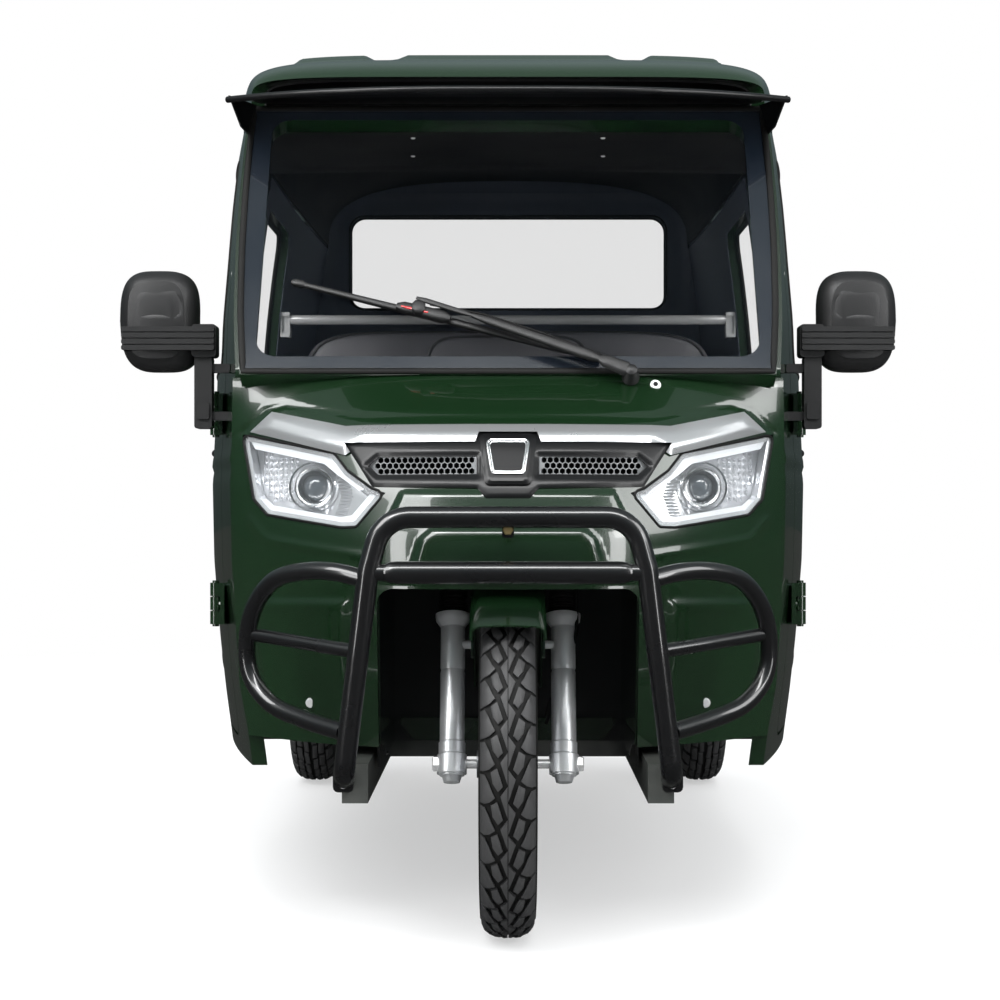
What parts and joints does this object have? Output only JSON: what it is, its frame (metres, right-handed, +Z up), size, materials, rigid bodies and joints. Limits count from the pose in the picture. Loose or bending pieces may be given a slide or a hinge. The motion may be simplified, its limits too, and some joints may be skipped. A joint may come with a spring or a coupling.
{
  "type": "electric tricycle",
  "caption": "Closed-cab passenger tricycle with a steered front wheel in a raked fork, driven rear wheels on a live axle, hinged doors, a bull bar and a pressed roof",
  "frame": {"origin": "centre of the footprint, on the ground", "axes": "+Z up, +Y towards the rear, along the longest side, +X to the vehicle's own left"},
  "size_m": [1.336, 2.7, 1.6115],
  "materials": {
    "green_paint": "gloss",
    "black_paint": "gloss",
    "frame_paint": "satin",
    "black_plastic": "matte",
    "gloss_black": "gloss",
    "bright_trim": "satin",
    "lamp_metal": "gloss",
    "lamp_cover": "gloss",
    "window_glass": "gloss",
    "rubber": "matte",
    "tyre": "matte",
    "seat_leather": "satin",
    "alloy": "satin",
    "stainless": "satin",
    "wheel_alloy": "satin",
    "red_lamp": "gloss",
    "battery_case": "matte"
  },
  "bodies": {
    "body": {"chassis": "frame_paint", "floor_pan": "black_plastic", "fascia": "green_paint", "headlamps": "lamp_metal", "headlamp_covers": "lamp_cover", "grille": "gloss_black", "grille_mesh": "bright_trim", "chrome_strip": "bright_trim", "bull_bar": "black_paint", "windscreen_frame": "green_paint", "windscreen_seal": "rubber", "windscreen": "window_glass", "visor": "gloss_black", "wiper": "black_plastic", "mirrors": "black_plastic", "roof": "green_paint", "side_left": "green_paint", "side_right": "green_paint", "rear_wall": "green_paint", "rear_glazing": "window_glass", "dash": "black_plastic", "driver_seat": "seat_leather", "driver_backrest": "seat_leather", "bench_cushion": "seat_leather", "bench_backrest": "seat_leather", "seat_bases": "black_paint", "handrail": "stainless", "battery": "battery_case", "rear_axle": "black_paint", "leaf_springs": "black_paint", "tail_lamps": "red_lamp", "rear_bumper": "black_paint"},
    "door_l": {"door_left": "green_paint", "door_glass_left": "window_glass"},
    "door_r": {"door_right": "green_paint", "door_glass_right": "window_glass"},
    "steering": {"fork": "alloy", "handlebar": "black_plastic", "front_mudguard": "green_paint"},
    "front_wheel_assembly": {"front_tyre": "tyre", "front_wheel": "wheel_alloy"},
    "rear_wheel_l": {"rear_tyre_left": "tyre", "rear_wheel_left": "wheel_alloy"},
    "rear_wheel_r": {"rear_tyre_right": "tyre", "rear_wheel_right": "wheel_alloy"}
  },
  "joints": [
    {"name": "steering_turn", "type": "hinge", "parent": "body", "child": "steering", "pos_m": [0, -1.03294, 0.275], "axis": [0, 0.309, 0.9511], "range_deg": [-30, 30]},
    {"name": "front_wheel_spin", "type": "hinge", "parent": "steering", "child": "front_wheel_assembly", "pos_m": [0, -1.075, 0.275], "axis": [1, 0, 0], "continuous": true},
    {"name": "rear_wheel_left_spin", "type": "hinge", "parent": "body", "child": "rear_wheel_l", "pos_m": [0.484, 0.925, 0.275], "axis": [1, 0, 0], "continuous": true},
    {"name": "rear_wheel_right_spin", "type": "hinge", "parent": "body", "child": "rear_wheel_r", "pos_m": [-0.484, 0.925, 0.275], "axis": [1, 0, 0], "continuous": true},
    {"name": "door_left_swing", "type": "hinge", "parent": "body", "child": "door_l", "pos_m": [0.51018, -0.773, 0.7], "axis": [0, 0, -1], "range_deg": [0, 65]},
    {"name": "door_right_swing", "type": "hinge", "parent": "body", "child": "door_r", "pos_m": [-0.51018, -0.773, 0.7], "axis": [0, 0, 1], "range_deg": [0, 65]}
  ]
}
